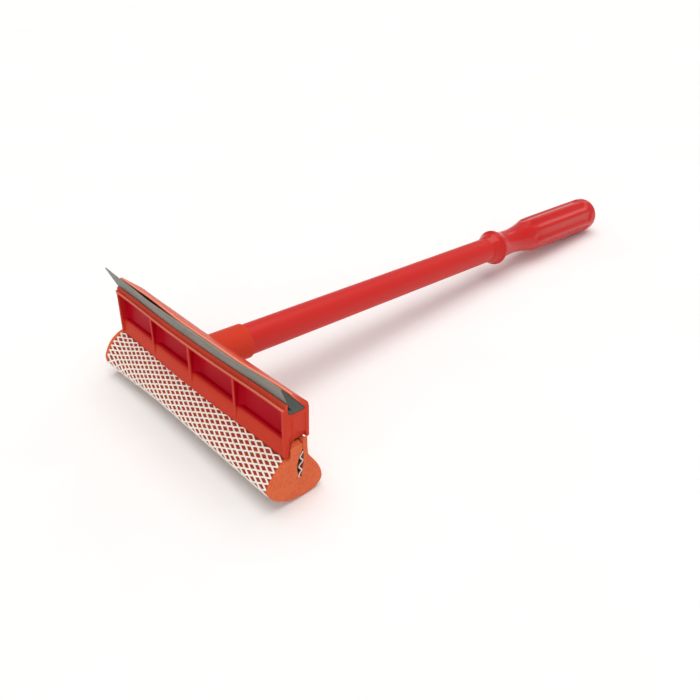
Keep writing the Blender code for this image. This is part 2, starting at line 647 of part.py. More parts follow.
def build_grip(parts, cutters, skin):
    """A turned grip with flutes cut by long spindles that stand round its axis."""
    grip = turned("grip", grip_profile(), axis_place(), parts)
    barrel = GRIP_RADIUS * 0.985
    reach = barrel + FLUTE_RADIUS - FLUTE_DEPTH
    ends = np.linspace(0, 1, 4)
    lift = FLUTE_DEPTH * 1.5
    head_end = [(FLUTE_LENGTH - FLUTE_TAPER * (1 - t), FLUTE_RADIUS - lift * t ** 2) for t in ends[::-1]]
    foot_end = [(FLUTE_TAPER * (1 - t), FLUTE_RADIUS - lift * t ** 2) for t in ends]
    profile = [(FLUTE_LENGTH, 0.0)] + head_end + foot_end + [(0.0, 0.0)]
    for k in range(FLUTE_COUNT):
        angle = FLUTE_PHASE + 2 * math.pi * k / FLUTE_COUNT
        shift = Matrix.Translation((reach * math.cos(angle), 0, reach * math.sin(angle)))
        spindle = turned(f"flute_{k}", profile, shift @ axis_place(GRIP_START + FLUTE_START), cutters, FLUTE_STEPS)
        boolean(grip, spindle, "DIFFERENCE")
    finish(grip, "grip", skin, math.radians(35))


def main():
    for old in list(bpy.data.objects):
        bpy.data.objects.remove(old)
    parts = new_collection("squeegee")
    cutters = new_collection("cutters")
    build_head(parts, cutters, material("head_plastic", (0.62, 0.055, 0.032), 0.38))
    build_blade(parts, cutters, material("blade_rubber", (0.17, 0.165, 0.155), 0.62))
    build_sponge(parts, material("sponge_foam", (0.66, 0.115, 0.038), 0.95))
    build_spine(parts, material("galvanised_steel", (0.60, 0.60, 0.58), 0.35, 1.0))
    build_net(parts, material("net_cord", (0.86, 0.76, 0.66), 0.70))
    build_tube(parts, material("tube_coating", (0.58, 0.045, 0.040), 0.30))
    build_grip(parts, cutters, material("grip_plastic", (0.60, 0.035, 0.032), 0.20))
    bpy.context.view_layer.update()
    for made in parts.objects:
        print(made.name, "placed")


main()
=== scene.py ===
# %% [markdown]
# # A hand squeegee, dressed
# The tool is a red moulded head on a red tube. The head holds a grey rubber blade above and a netted
# sponge below, and the tube ends in a fluted grip. The CAD model gives every piece its place and size,
# so the lesson starts from it and only builds finer skins and finishes around it.

# %% Load the frame
import math
from functools import partial

import bmesh
import bpy
import numpy as np
from mathutils import Matrix, Vector
from mathutils.geometry import delaunay_2d_cdt


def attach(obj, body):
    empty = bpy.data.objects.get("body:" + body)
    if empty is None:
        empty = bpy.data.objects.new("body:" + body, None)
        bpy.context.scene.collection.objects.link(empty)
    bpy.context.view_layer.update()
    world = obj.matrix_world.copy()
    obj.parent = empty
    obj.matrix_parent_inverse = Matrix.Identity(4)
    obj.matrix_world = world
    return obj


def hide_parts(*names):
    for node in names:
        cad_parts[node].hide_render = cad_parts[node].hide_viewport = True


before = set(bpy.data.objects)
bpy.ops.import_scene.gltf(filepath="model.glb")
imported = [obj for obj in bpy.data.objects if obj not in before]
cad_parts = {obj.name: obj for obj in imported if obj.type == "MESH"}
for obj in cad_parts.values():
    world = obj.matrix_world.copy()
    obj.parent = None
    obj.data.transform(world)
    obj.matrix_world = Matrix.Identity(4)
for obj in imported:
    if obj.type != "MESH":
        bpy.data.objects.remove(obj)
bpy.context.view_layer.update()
MM = 0.001
print("pieces in the frame:", sorted(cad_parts))

# %% [markdown]
# ## Where things are
# Every section of the head is drawn looking along it. A point has a depth, from the front face of the
# head back towards the handle, and a rise, from the top of the front flange up to the blade. Both are in
# millimetres, which are easier to read than metres, and one function turns them into a place.

# %% Section coordinates
SECTION_Y, SECTION_Z = -11.548, 65.018
HEAD_LENGTH = 203.0
AXIS_RISE = -14.2


def place(along, depth, rise):
    """A point of the frame in metres, from millimetres along the head, depth and rise."""
    return Vector((along, depth + SECTION_Y, rise + SECTION_Z)) * MM


print("handle axis at height", round(place(0, 0, AXIS_RISE).z, 4), "m")

# %% [markdown]
# ## The camera
# The photograph was taken from the right front, looking down by about thirty degrees. The camera's place
# and turn were solved from straight edges of the tool, so the lens and the three directions can be written
# down directly. A camera looks along its own -Z, so its matrix holds right, up and backwards as columns.

# %% Camera
RIGHT, UP, BACK = (0.6750, 0.7375, 0.0218), (-0.3791, 0.3214, 0.8678), (0.6330, -0.5940, 0.4965)
CAMERA_PLACE = place(335.17, -171.30, 204.24)


def add_object(name, data):
    """A new object of the scene, left at the origin."""
    added = bpy.data.objects.new(name, data)
    bpy.context.scene.collection.objects.link(added)
    return added


lens = bpy.data.cameras.new("view_camera")
lens.sensor_width = 36.0
lens.lens = 33.46
lens.clip_start = 0.01
view_camera = add_object("view_camera", lens)
turn = Matrix((RIGHT, UP, BACK)).transposed().to_4x4()
view_camera.matrix_world = Matrix.Translation(CAMERA_PLACE) @ turn
bpy.context.scene.camera = view_camera
print("camera at", tuple(round(v, 3) for v in view_camera.location))

# %% [markdown]
# ## Lines that the pieces follow
# The sponge, its net and the steel strip all follow the same mushroom section. A few listed points become a
# smooth line by Catmull-Rom interpolation, which passes through every point that it is given.
# Stepping along the line at equal lengths then gives rows that are evenly spaced.

# %% Smooth lines
def smooth_line(points, per_span=24):
    """A Catmull-Rom curve through the points."""
    points = [np.array(p, float) for p in points]
    knots = [2 * points[0] - points[1], *points, 2 * points[-1] - points[-2]]
    line = []
    for a, b, c, d in zip(knots[:-3], knots[1:-2], knots[2:-1], knots[3:]):
        for t in np.linspace(0, 1, per_span, endpoint=False):
            line.append(0.5 * (2 * b + (c - a) * t + (2 * a - 5 * b + 4 * c - d) * t ** 2
                               + (3 * b - a - 3 * c + d) * t ** 3))
    return np.array(line + [points[-1]])


def line_length(line):
    return float(np.sum(np.linalg.norm(np.diff(line, axis=0), axis=1)))


def even_points(line, count):
    """The line cut into count equal lengths."""
    reach = np.concatenate([[0], np.cumsum(np.linalg.norm(np.diff(line, axis=0), axis=1))])
    marks = np.linspace(0, reach[-1], count + 1)
    return np.stack([np.interp(marks, reach, line[:, k]) for k in (0, 1)], axis=1)


def smoothstep(value, low, high):
    """Runs from 0 at low to 1 at high, level at both."""
    t = np.clip((value - low) / (high - low), 0, 1)
    return t * t * (3 - 2 * t)


def left_normals(line, closed=False):
    """Unit normals to the left of a line, averaged at its corners."""
    before = line - np.roll(line, 1, axis=0)
    after = np.roll(line, -1, axis=0) - line
    if not closed:
        before[0], after[-1] = after[0], before[-1]
    unit = lambda v: v / np.linalg.norm(v, axis=1)[:, None]
    tangent = unit(unit(before) + unit(after))
    return np.stack([-tangent[:, 1], tangent[:, 0]], axis=1)


WRAP_POINTS = [(0.6, -34.2), (-1.2, -35.6), (-5.2, -39.3), (-9.1, -44.0), (-11.9, -48.3), (-12.8, -50.8),
               (-11.4, -54.2), (-7.3, -58.1), (-2.0, -61.3), (4.0, -63.2), (10.0, -64.0), (15.6, -63.9),
               (20.2, -62.9), (23.8, -60.5), (25.3, -57.4), (24.7, -53.0), (22.4, -47.4), (19.1, -42.0),
               (16.5, -38.2), (15.2, -35.5), (15.0, -30.0), (14.8, -25.4)]
wrap_line = smooth_line(WRAP_POINTS)
WRAP_LENGTH = line_length(wrap_line)
print("length round the sponge:", round(WRAP_LENGTH, 1), "mm")

# %% [markdown]
# ## Helpers for meshes
# Two shapes turn up again and again: a section that is swept along the head, and rings that are turned
# round the handle. Both are rows of points joined by four-sided faces, so one function builds them.
# Each piece is left at the origin with its place in its mesh.

# %% Build a skin from rows of points
def edit_mesh(mesh, *changes):
    """Runs changes on a mesh through bmesh."""
    shape = bmesh.new()
    shape.from_mesh(mesh)
    for change in changes:
        change(shape)
    shape.to_mesh(mesh)
    shape.free()


def face_outward(shape):
    bmesh.ops.recalc_face_normals(shape, faces=shape.faces)


def new_piece(name, mesh_builder, material):
    piece = add_object(name, bpy.data.meshes.new(name))
    edit_mesh(piece.data, mesh_builder, face_outward)
    piece.data.materials.append(material)
    return piece


def loft(shape, rows, caps=True):
    """Joins closed rows of equal length with faces, and closes the ends where caps is set."""
    rings = [[shape.verts.new(p) for p in row] for row in rows]
    for low, high in zip(rings[:-1], rings[1:]):
        for k in range(len(low)):
            n = (k + 1) % len(low)
            shape.faces.new((low[k], low[n], high[n], high[k]))
    if caps:
        shape.faces.new(rings[0][::-1])
        shape.faces.new(rings[-1])
    return rings


def smooth_by_angle(piece, degrees):
    piece.data.shade_smooth()
    piece.data.set_sharp_from_angle(angle=math.radians(degrees))


def plain_mesh(piece):
    """Applies a piece's modifiers by keeping its evaluated mesh."""
    bpy.context.view_layer.update()
    result = bpy.data.meshes.new_from_object(piece.evaluated_get(bpy.context.evaluated_depsgraph_get()))
    result.name = piece.name
    old = piece.data
    piece.modifiers.clear()
    piece.data = result
    bpy.data.meshes.remove(old)
    return piece


def section_points(piece):
    """A piece's points in millimetres along the head, depth and rise."""
    flat = np.empty(len(piece.data.vertices) * 3)
    piece.data.vertices.foreach_get("co", flat)
    return flat.reshape(-1, 3) / MM - (0, SECTION_Y, SECTION_Z)


def move_points(piece, spots):
    """Moves a piece's points to places in millimetres along the head, depth and rise."""
    piece.data.vertices.foreach_set("co", ((spots + (0, SECTION_Y, SECTION_Z)) * MM).ravel())
    piece.data.update()


print("mesh helpers ready")

# %% [markdown]
# ## Finishes
# A real moulding is never one flat colour. Its gloss changes a little over the surface, fine dust and
# handling scratches break up the reflections, and the colour drifts slightly. One node group makes these
# masks for all the red pieces, with its own scale and amount in each material.

# %% Nodes in short
def feed(tree, socket, value):
    """Links a socket to another one, or sets its value."""
    if isinstance(value, bpy.types.NodeSocket):
        tree.links.new(value, socket)
    else:
        socket.default_value = value


def add(tree, kind, inputs=None, **settings):
    """A node with its properties set, and its inputs linked or filled by socket name or number."""
    node = tree.nodes.new(kind)
    for key, value in settings.items():
        setattr(node, key, value)
    for key, value in (inputs or {}).items():
        feed(tree, node.inputs[key], value)
    return node


def noise(tree, coordinate, scale, detail=3.0, roughness=0.55):
    return add(tree, "ShaderNodeTexNoise", {"Vector": coordinate, "Scale": scale, "Detail": detail,
                                            "Roughness": roughness}).outputs["Fac"]


def cell_distance(tree, coordinate, scale):
    return add(tree, "ShaderNodeTexVoronoi", {"Vector": coordinate, "Scale": scale}).outputs["Distance"]


def map_range(tree, value, low, high, to_low=0.0, to_high=1.0):
    limits = {"Value": value, "From Min": low, "From Max": high, "To Min": to_low, "To Max": to_high}
    return add(tree, "ShaderNodeMapRange", limits, interpolation_type="SMOOTHSTEP").outputs["Result"]


def math_node(tree, operation, *values):
    return add(tree, "ShaderNodeMath", dict(enumerate(values)), operation=operation).outputs[0]


def axes(tree, vector):
    return add(tree, "ShaderNodeSeparateXYZ", {0: vector}).outputs


def mix_colour(tree, factor, a, b):
    """Mixes two colours, each of which is a socket or three numbers."""
    node = add(tree, "ShaderNodeMix", {"Factor": factor}, data_type="RGBA")
    for socket, value in zip([s for s in node.inputs if s.type == "RGBA"], (a, b)):
        feed(tree, socket, (*value, 1.0) if isinstance(value, tuple) else value)
    return [s for s in node.outputs if s.type == "RGBA"][0]


print("node helpers ready")

# %% Group: skin of a moulding
STAIN = (0.25, 0.0, 0.01)
moulded_skin = bpy.data.node_groups.new("moulded_skin", "ShaderNodeTree")
for label, kind, value in (("Vector", "Vector", (0, 0, 0)), ("Colour", "Color", (1, 1, 1, 1)),
                           ("Drift", "Float", 0.15), ("Gloss", "Float", 0.3), ("Wear", "Float", 0.1)):
    socket = moulded_skin.interface.new_socket(label, in_out="INPUT", socket_type="NodeSocket" + kind)
    socket.default_value = value
for label, kind in (("Colour", "Color"), ("Roughness", "Float"), ("Height", "Float")):
    moulded_skin.interface.new_socket(label, in_out="OUTPUT", socket_type="NodeSocket" + kind)
given = moulded_skin.nodes.new("NodeGroupInput").outputs
cloud = noise(moulded_skin, given["Vector"], 18.0, 4.0)
fine = noise(moulded_skin, given["Vector"], 900.0, 2.0)
smear = noise(moulded_skin, given["Vector"], 120.0, 5.0, 0.65)
calc = partial(math_node, moulded_skin)
darker = mix_colour(moulded_skin, 0.15, given["Colour"], STAIN)
drifted = mix_colour(moulded_skin, calc("MULTIPLY", cloud, given["Drift"]), given["Colour"], darker)
dull = calc("MULTIPLY", map_range(moulded_skin, smear, 0.5, 0.75), given["Wear"])
add(moulded_skin, "NodeGroupOutput", {
    "Colour": drifted, "Roughness": calc("ADD", given["Gloss"], dull),
    "Height": calc("ADD", calc("MULTIPLY", fine, 0.35), smear)})
print("group made:", moulded_skin.name)

# %% [markdown]
# The walls inside the head's bays get a darker, deeper crimson as painted shade, because they lie in shadow
# under the lip.
# A mask finds them by depth and rise. Some edges get a paler salmon colour as a painted highlight: the jaw's
# tip, the front bead and the lip, where glossy rounding would catch the light. These edges are marked on the
# mesh itself, in an attribute of its own.

# %% Materials of the red pieces
# where the painted shade of the bay walls fades out: by rise, by depth and at the end walls
SHADE_MASK_FADES = (("Z", SECTION_Z, -2.2, -1.4, 1.0, 0.0), ("Z", SECTION_Z, -24.2, -22.4, 0.0, 1.0),
                ("Y", SECTION_Y, 0.3, 1.2, 0.0, 1.0), ("Y", SECTION_Y, 6.2, 6.8, 1.0, 0.0))
END_WALL_FADE = (98.8, 99.3)
# colour of a painted highlight on edges that would catch the light
HIGHLIGHT_RED = (1.0, 0.42, 0.27)


def new_material(name):
    made = bpy.data.materials.new(name)
    made.use_nodes = True
    tree = made.node_tree
    return made, tree, tree.nodes["Principled BSDF"], tree.nodes.new("ShaderNodeTexCoord").outputs["Object"]


def fill(tree, shader, **values):
    """Links or sets a shader's inputs; an underscore in a name stands for a space."""
    for name, value in values.items():
        feed(tree, shader.inputs[name.replace("_", " ")], value)


def bump(tree, shader, height, strength, distance):
    node = add(tree, "ShaderNodeBump", {"Height": height, "Strength": strength, "Distance": distance})
    tree.links.new(node.outputs["Normal"], shader.inputs["Normal"])


def painted_shade_mask(tree, coordinate):
    """1 on the walls inside the bays, which get painted shade, 0 elsewhere."""
    where = axes(tree, coordinate)
    sideways = math_node(tree, "ABSOLUTE", where["X"])
    mask = map_range(tree, sideways, END_WALL_FADE[0] * MM, END_WALL_FADE[1] * MM, 1.0, 0.0)
    for axis, start, low, high, at_low, at_high in SHADE_MASK_FADES:
        fade = map_range(tree, where[axis], (start + low) * MM, (start + high) * MM, at_low, at_high)
        mask = math_node(tree, "MULTIPLY", mask, fade)
    return mask


def red_plastic(name, colour, gloss, wear, drift, tint, shine, bay_shade_colour=None):
    made, tree, shader, coordinate = new_material(name)
    skin = add(tree, "ShaderNodeGroup", node_tree=moulded_skin)
    fill(tree, skin, Vector=coordinate, Colour=(*colour, 1.0), Drift=drift, Gloss=gloss, Wear=wear)
    painted = skin.outputs["Colour"]
    if bay_shade_colour:
        # painted shade: the bay walls are mixed towards a darker crimson
        painted = mix_colour(tree, painted_shade_mask(tree, coordinate), painted, bay_shade_colour)
        # painted highlight: paler salmon where the edge attribute is set
        edges = add(tree, "ShaderNodeAttribute", attribute_name="rubbed")
        painted = mix_colour(tree, edges.outputs["Fac"], painted, HIGHLIGHT_RED)
    fill(tree, shader, Base_Color=painted, Roughness=skin.outputs["Roughness"], IOR=1.5,
         Specular_IOR_Level=shine, Specular_Tint=(*tint, 1.0))
    bump(tree, shader, skin.outputs["Height"], 0.05, 0.0004)
    return made


# the head's last colour is the painted shade of its bay walls
head_red = red_plastic("head_red", (0.63, 0.052, 0.026), 0.34, 0.12, 0.5, (1.0, 0.75, 0.5), 0.04,
                       bay_shade_colour=(0.46, 0.001, 0.012))
tube_red = red_plastic("tube_red", (0.60, 0.022, 0.020), 0.38, 0.10, 0.4, (1.0, 0.95, 0.80), 0.22)
grip_red = red_plastic("grip_red", (0.58, 0.012, 0.011), 0.22, 0.06, 0.5, (1.0, 0.95, 0.85), 0.30)
print("red finishes ready")

# %% [markdown]
# ## The head
# The head is one moulding: even walls folded into a blade channel, open bays with ribs, and a channel for
# the sponge. The frame gives its straight shape, with knife sharp edges. A copy is welded, its flat
# triangles are merged, and every hard edge gets a small rolled bevel, because that is where a moulding
# catches the light.
#
# The real head is not quite straight. Its jaws are bent forward in the middle, its roof has a faint
# ridge, and each bay has round inner corners. The copy is sliced across where it has to bend, and one
# function then moves every point by rules for the part of the section that it belongs to.

# %% Rules for bending the head
BAYS = ((-99.0, -51.85), (-49.65, -1.1), (1.1, 49.65), (51.85, 99.0))
BAY_WALL, CORNER_REACH, CORNER_FORWARD = 5.6, 8.0, 3.2
FLOOR_LINE = np.array([(5.6, -22.2), (4.2, -22.2), (3.11, -23.1), (2.41, -24.6), (1.90, -27.0), (1.30, -31.0)])
RIDGE_MARKS = (-101.5, -99.2, -94.5, -88.2, -82, -76, -70, -64, -50, -36, -23, -10, 47, 82, 101.5)
RIDGE_RISE = (0.0, 0.6, 1.1, 1.25, 1.05, 0.85, 0.7, 0.5, 0.35, 0.05, -0.25, -0.55, -0.35, -0.25, 0.0)
LIP_SHIFT, JAW_SHIFT = (-1.5, -0.4), (-1.5, -0.8)
BEAD_TAPER = 0.9  # the front bead runs back by this at its left end


def jaw_bow(along):
    """How far the jaw's middle is drawn forward: full over most of its length, none at its ends."""
    return smoothstep(HEAD_LENGTH / 2 - np.abs(along), 8, 52)


def lip_bow(along):
    """The same for the front lip and flange, which bend more evenly."""
    return smoothstep(HEAD_LENGTH / 2 - np.abs(along), 10, 87)


def round_bays(along, depth, rise):
    """Brings the bays' back walls forward in a round near each rib, and their feet down the flange."""
    corner = np.full(len(along), 2 * CORNER_REACH)
    for left, right in BAYS:
        here = (along > left - 0.4) & (along < right + 0.4)
        corner = np.where(here, np.clip(np.minimum(along - left, right - along), 0, None), corner)
    share = np.clip(1 - corner / CORNER_REACH, 0, 1)
    forward = CORNER_FORWARD * (1 - np.sqrt(1 - share ** 2))
    # the bays' back wall, which curves forward towards each rib
    wall = (depth > 4.7) & (depth < 6.0) & (rise > -22.0) & (rise < -5.0)
    moved = depth - np.where(wall, forward * smoothstep(-rise, 5.5, 10.0), 0)
    # the foot of that wall, which has to stay on the sloping floor of the bay
    limit = BAY_WALL - forward
    foot = (rise <= -22.0) & (rise > -26.5) & (depth < 6.0) & (depth > limit) & (forward > 0)
    pressed = limit + 0.06 * (depth - limit)
    on_floor = np.interp(-pressed, -FLOOR_LINE[:, 0], FLOOR_LINE[:, 1])
    return np.where(foot, pressed, moved), np.where(foot, on_floor, rise)


def bend_head(spots):
    """Moves points (along, depth, rise) of the straight head to where the real one stands."""
    along, depth, rise = spots.T
    depth, rise = round_bays(along, depth, rise)
    at_bead = 1 - smoothstep(np.hypot(depth, rise), 0.9, 1.7)
    depth = depth + BEAD_TAPER * at_bead * smoothstep(-along, 98.5, 101.5)
    front = (1 - smoothstep(depth, 2.2, 5.4)) * (1 - smoothstep(rise, 4.0, 6.0)) * lip_bow(along)
    shoulder = smoothstep(depth, 12.5, 13.8) * smoothstep(rise, -3.2, -0.8)
    jaw = smoothstep(rise, -2.5, 8.0) * (depth > 3.6) * (1 - shoulder)
    jaw = jaw * jaw_bow(along) * smoothstep(along, -65, -5)
    ridge = shoulder * np.interp(along, RIDGE_MARKS, RIDGE_RISE)
    return np.column_stack([along, depth + LIP_SHIFT[0] * front + JAW_SHIFT[0] * jaw,
                            rise + LIP_SHIFT[1] * front + JAW_SHIFT[1] * jaw + ridge])


print("bays:", len(BAYS))

# %% Head moulding
EDGE_ROUND, EDGE_DEGREES, FLAT_DEGREES, WELD = 0.25, 32, 1.0, 1e-6
SLICES = (100.8, 100, 99.1, 96, 92, 88, 84, 80, 75, 70, 64, 57, 40, 30, 20, 10)
BAY_SLICES = (0.4, 0.9, 1.6, 2.6, 4.0, 5.8, 8.0)
# painted highlight lines: the jaw's tip, the front bead and the lip, as (depth, rise), width and amount
HIGHLIGHT_EDGES = (((5.8, 9.3), 0.9, 0.75), ((-0.35, 0.75), 0.55, 0.65), ((2.6, 3.3), 0.6, 0.25))


def weld_flats(shape):
    """Welds the points and merges the flat triangles."""
    bmesh.ops.remove_doubles(shape, verts=shape.verts, dist=WELD)
    bmesh.ops.dissolve_limit(shape, angle_limit=math.radians(FLAT_DEGREES), verts=shape.verts,
                             edges=shape.edges)


def slice_across(shape):
    """Cuts the faces across the head at each place where it bends."""
    places = [side * along for side in (-1, 1) for along in SLICES]
    places += [left + step for left, _ in BAYS for step in BAY_SLICES]
    places += [right - step for _, right in BAYS for step in BAY_SLICES]
    for along in sorted(places):
        bmesh.ops.bisect_plane(shape, geom=shape.verts[:] + shape.edges[:] + shape.faces[:], dist=1e-7,
                               plane_co=(along * MM, 0, 0), plane_no=(1, 0, 0))


head_moulding = add_object("head_moulding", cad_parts["head_frame"].data.copy())
edit_mesh(head_moulding.data, weld_flats)
edge = head_moulding.modifiers.new("edge", "BEVEL")
edge.width, edge.segments = EDGE_ROUND * MM, 2
edge.limit_method, edge.angle_limit = "ANGLE", math.radians(EDGE_DEGREES)
plain_mesh(head_moulding)
edit_mesh(head_moulding.data, slice_across)
straight = section_points(head_moulding)
# painted highlight along edges that would catch the light, stored per point
rubbed = np.zeros(len(straight))
for middle, width, amount in HIGHLIGHT_EDGES:
    away = np.linalg.norm(straight[:, 1:] - middle, axis=1)
    rubbed = np.maximum(rubbed, amount * np.exp(-(away / width) ** 2))
head_moulding.data.attributes.new("rubbed", "FLOAT", "POINT").data.foreach_set("value", rubbed)
move_points(head_moulding, bend_head(straight))
smooth_by_angle(head_moulding, 40)
head_moulding.data.materials.clear()
head_moulding.data.materials.append(head_red)
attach(head_moulding, "tool")
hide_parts("head_frame")
print("head faces:", len(head_moulding.data.polygons))

# %% [markdown]
# ## The foam
# Foam is a sponge of tiny cells, so up close it is a grain of pits rather than a smooth skin. The colour
# is warmer than the plastic. Cells come from a Voronoi texture, whose distance to the nearest point makes
# a field of round pits, and a noise mixes small ones in between. Inside the netting the foam is painted darker
# than at its bare ends: painted shade, standing in for the shadow that the netting casts on it.

# %% Foam material
FOAM_CELLS = 1500.0
BARE_FROM, BARE_BEFORE = (0.0990, 0.1000), (-0.1022, -0.1012)
FOAM_LIGHT, FOAM_DARK, FOAM_PATCH, FOAM_NET_SHADE = ((0.76, 0.150, 0.055), (0.54, 0.065, 0.022),
                                                  (0.78, 0.18, 0.07), (0.30, 0.018, 0.010))
foam_orange, tree, shader, coordinate = new_material("foam_orange")
pits = map_range(tree, cell_distance(tree, coordinate, FOAM_CELLS), 0.05, 0.55)
speck = noise(tree, coordinate, 2600.0, 2.0)
patch = noise(tree, coordinate, 90.0, 4.0, 0.6)
mottle = noise(tree, coordinate, 420.0, 3.0, 0.65)
calc = partial(math_node, tree)
grain = calc("MULTIPLY", pits, calc("ADD", speck, 0.35))
mixed = calc("ADD", calc("MULTIPLY", grain, 0.5), calc("MULTIPLY", mottle, 0.9))
colour = mix_colour(tree, map_range(tree, mixed, 0.35, 0.95), FOAM_DARK, FOAM_LIGHT)
tinted = mix_colour(tree, map_range(tree, patch, 0.35, 0.7, 0.0, 0.35), colour, FOAM_PATCH)
along = axes(tree, coordinate)["X"]
bare = calc("ADD", map_range(tree, along, *BARE_FROM), map_range(tree, along, *BARE_BEFORE, 1.0, 0.0))
# painted shade: the foam inside the netting is mixed towards a dark red
net_shaded = mix_colour(tree, 0.75, tinted, FOAM_NET_SHADE)
fill(tree, shader, Base_Color=mix_colour(tree, bare, net_shaded, tinted), Roughness=0.95,
     Specular_IOR_Level=0.1, Sheen_Weight=0.08, Sheen_Roughness=0.5)
bump(tree, shader, mixed, 0.55, 0.0005)
print("foam cells about", round(1 / FOAM_CELLS / MM, 2), "mm")

# %% [markdown]
# ## The netting's pattern
# The netting is a knitted mesh of diamonds, longer along the head than round it. Its cords run zigzag
# from end to end, and neighbours meet at each peak. The foam swells out through every diamond. Cord and
# swelling read the same two numbers, the size of a diamond, so that each swelling sits in its hole.

# %% Size of a diamond
CELL_ALONG, CELL_ROUND = 8.65, 3.70
ROWS = 2 * round(WRAP_LENGTH / CELL_ROUND)
COLUMNS = 23
NET_REACH = COLUMNS * CELL_ALONG / 2


def swelling(along, round_length):
    """Height of the foam between the cords, from 0 under a cord to 1 in the middle of a diamond."""
    p = along / CELL_ALONG + round_length / (2 * WRAP_LENGTH / ROWS)
    q = along / CELL_ALONG - round_length / (2 * WRAP_LENGTH / ROWS)
    return np.sqrt(np.abs(np.sin(math.pi * p) * np.sin(math.pi * q)))


print(ROWS, "half rows of", COLUMNS, "diamonds")

# %% [markdown]
# ## The sponge
# The sponge is a mushroom-shaped length of foam. Its neck is split by a slit, in which a steel strip
# stands. It is built from rings along the head: each ring is the mushroom line with its neck, pushed out
# a little between the cords and at the bare ends, where nothing squeezes it. The last rings shrink inwards
# along a quarter circle, which rounds the cut edge.

# %% Sponge rings
SPONGE_REACH, END_ROUND, BARE_SWELL, NET_SWELL, NET_PRESS = 103.0, 0.6, 0.6, 0.42, 0.1
STRIP_TOP, STRIP_HEIGHT, STRIP_LEAN, STRIP_SWING, STRIP_END_SHARE = (11.35, -31.5), 17.6, 2.0, 1.3, 0.45
STRIP_CLEAR = 0.30


def slit_wall(side, gape):
    """One wall of the slit: it keeps clear of the strip's waves and gapes a little more at half height."""
    t = np.linspace(0, 1, 15)
    bow = np.sin(math.pi * t)
    clear = STRIP_SWING * (STRIP_END_SHARE + (1 - STRIP_END_SHARE) * bow) + STRIP_CLEAR
    return list(zip(STRIP_TOP[0] - STRIP_LEAN * t + side * (clear + gape * bow),
                    STRIP_TOP[1] - STRIP_HEIGHT * t))


NECK = ([(14.8, -25.4), (14.6, -24.2), (13.9, -23.8), (12.4, -23.8), (11.8, -24.1), (11.6, -24.8), (11.6, -30.0)]
        + slit_wall(1, 0.0) + [(9.35, -49.8)] + slit_wall(-1, 1.5)[::-1]
        + [(11.2, -30.0), (11.2, -25.2), (10.8, -24.7), (8.6, -24.7), (5.7, -24.7), (4.9, -25.5), (4.32, -27.6),
           (3.6, -31.4), (2.9, -33.2)])
ROUND_STEPS = 6 * (ROWS // 2)
round_marks = np.linspace(0, WRAP_LENGTH, ROUND_STEPS + 1)
ring_line = np.vstack([even_points(wrap_line, ROUND_STEPS), np.array(NECK[1:])])
ring_normals = -left_normals(ring_line, closed=True)
ring_depth, ring_rise = ring_line.T
rear_lobe = smoothstep(ring_rise, -30.0, -25.5) * smoothstep(ring_depth, 11.3, 11.5)
front_lobe = smoothstep(ring_rise, -33.5, -28.0) * smoothstep(-ring_depth, -11.0, -5.0)
front_lobe[:ROUND_STEPS] = 0
front_roof = smoothstep(ring_rise, -26.5, -25.0) * smoothstep(-ring_depth, -11.3, -11.2)
NECK_RELEASE = np.stack([-1.4 * front_lobe + 0.2 * rear_lobe, 1.3 * rear_lobe - 0.9 * front_roof], axis=1)


def sponge_ring(along, inset):
    bare = smoothstep(abs(along), NET_REACH - 1.5, NET_REACH + 2.5)
    fade = smoothstep(round_marks, 0, 3) * smoothstep(WRAP_LENGTH - round_marks, 0, 12)
    lift = BARE_SWELL * bare + (NET_SWELL * swelling(along, round_marks) - NET_PRESS) * (1 - bare) - inset
    push = np.zeros(len(ring_line))
    push[:ROUND_STEPS + 1] = lift * fade
    freed = NECK_RELEASE * smoothstep(abs(along), 101.3, 102.3)
    return [place(along, *point) for point in ring_line + ring_normals * push[:, None] + freed]


def sponge_rows():
    level = SPONGE_REACH - END_ROUND
    corner = np.radians(np.linspace(0, 90, 7))
    ends = [(level + END_ROUND * math.sin(a), END_ROUND * (1 - math.cos(a))) for a in corner]
    ends.append((SPONGE_REACH, 2 * END_ROUND))
    middle = np.arange(-level, level, CELL_ALONG / 6)
    return ([sponge_ring(-x, inset) for x, inset in ends[::-1]] + [sponge_ring(x, 0) for x in middle[1:]]
            + [sponge_ring(x, inset) for x, inset in ends])


def cap(shape, ring):
    """Closes a flat ring with well shaped triangles."""
    found = delaunay_2d_cdt([Vector((v.co.y, v.co.z)) for v in ring], [], [list(range(len(ring)))], 1, 1e-9)
    for face in found[2]:
        shape.faces.new([ring[found[3][k][0]] for k in face])


def sponge_shape(shape):
    rings = loft(shape, sponge_rows(), caps=False)
    cap(shape, rings[0])
    cap(shape, rings[-1])


foam_sponge = new_piece("foam_sponge", sponge_shape, foam_orange)
print("points in a ring:", len(ring_line))

# %% [markdown]
# ## The loose end
# Nothing holds the left end of the sponge, so it swells past the end of the head, and its lower front
# corner sags. The net swells with it. The move is written once for any points near the wrapped line: each
# point looks up its nearest place on the line, and the length there says how far to move and which way.

# %% Loosen the left end
LOOSE_MARKS = [0, 3, 6, 9, 12, 15, 18, 21, 24, 30]
LOOSE_SWELL = [0, 0.6, 1.0, 1.5, 1.7, 1.5, 1.2, 0.9, 0.5, 0]
LOOSE_LONGER, LOOSE_SAG, SAG_WAY = 2.5, 3.0, (-0.62, -0.78)
LOOSE_FROM, GUIDE_STEPS, BATCH = -20, 400, 4000


